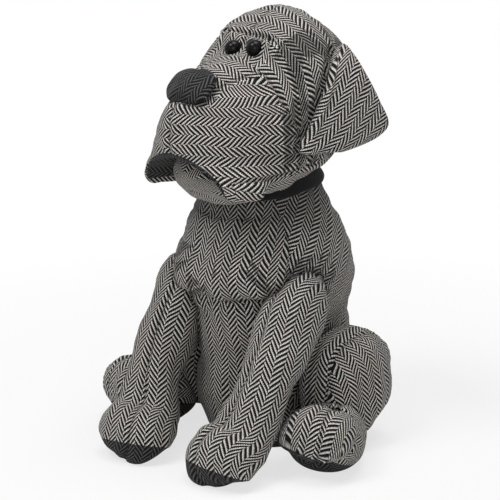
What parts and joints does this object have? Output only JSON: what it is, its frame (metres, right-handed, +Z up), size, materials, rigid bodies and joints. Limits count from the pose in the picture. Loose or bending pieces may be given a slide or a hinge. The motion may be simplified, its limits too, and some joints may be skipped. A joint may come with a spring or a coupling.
{
  "type": "weighted fabric door stop",
  "caption": "Sitting dog sewn from herringbone tweed, stuffed and weighted, with floppy ears, hanging lips and dark soles; it sits on the floor and holds a door open.",
  "frame": {"origin": "on the floor, under the middle of the outer box", "axes": "+Z up, the dog faces -Y, its left side is +X"},
  "size_m": [0.1962, 0.2158, 0.276],
  "materials": {
    "tweed": "matt woollen herringbone tweed, black and cream yarn",
    "dark_tweed": "matt woollen herringbone, charcoal and grey yarn",
    "band_cloth": "plain matt black cloth",
    "bead": "glossy black"
  },
  "bodies": {
    "root": {"head": "tweed", "lower_jaw": "tweed", "lip_lining": "dark_tweed", "nose": "dark_tweed", "eye_left": "bead", "eye_right": "bead", "ear_left": "tweed", "ear_right": "tweed", "ear_lining_left": "dark_tweed", "ear_lining_right": "dark_tweed", "torso": "tweed", "base_panel": "dark_tweed", "neck_band": "band_cloth", "front_leg_left": "tweed", "front_leg_right": "tweed", "front_sole_left": "dark_tweed", "front_sole_right": "dark_tweed", "haunch_left": "tweed", "haunch_right": "tweed", "hind_foot_left": "tweed", "hind_foot_right": "tweed", "hind_sole_left": "dark_tweed", "hind_sole_right": "dark_tweed", "tail": "tweed"}
  },
  "joints": []
}
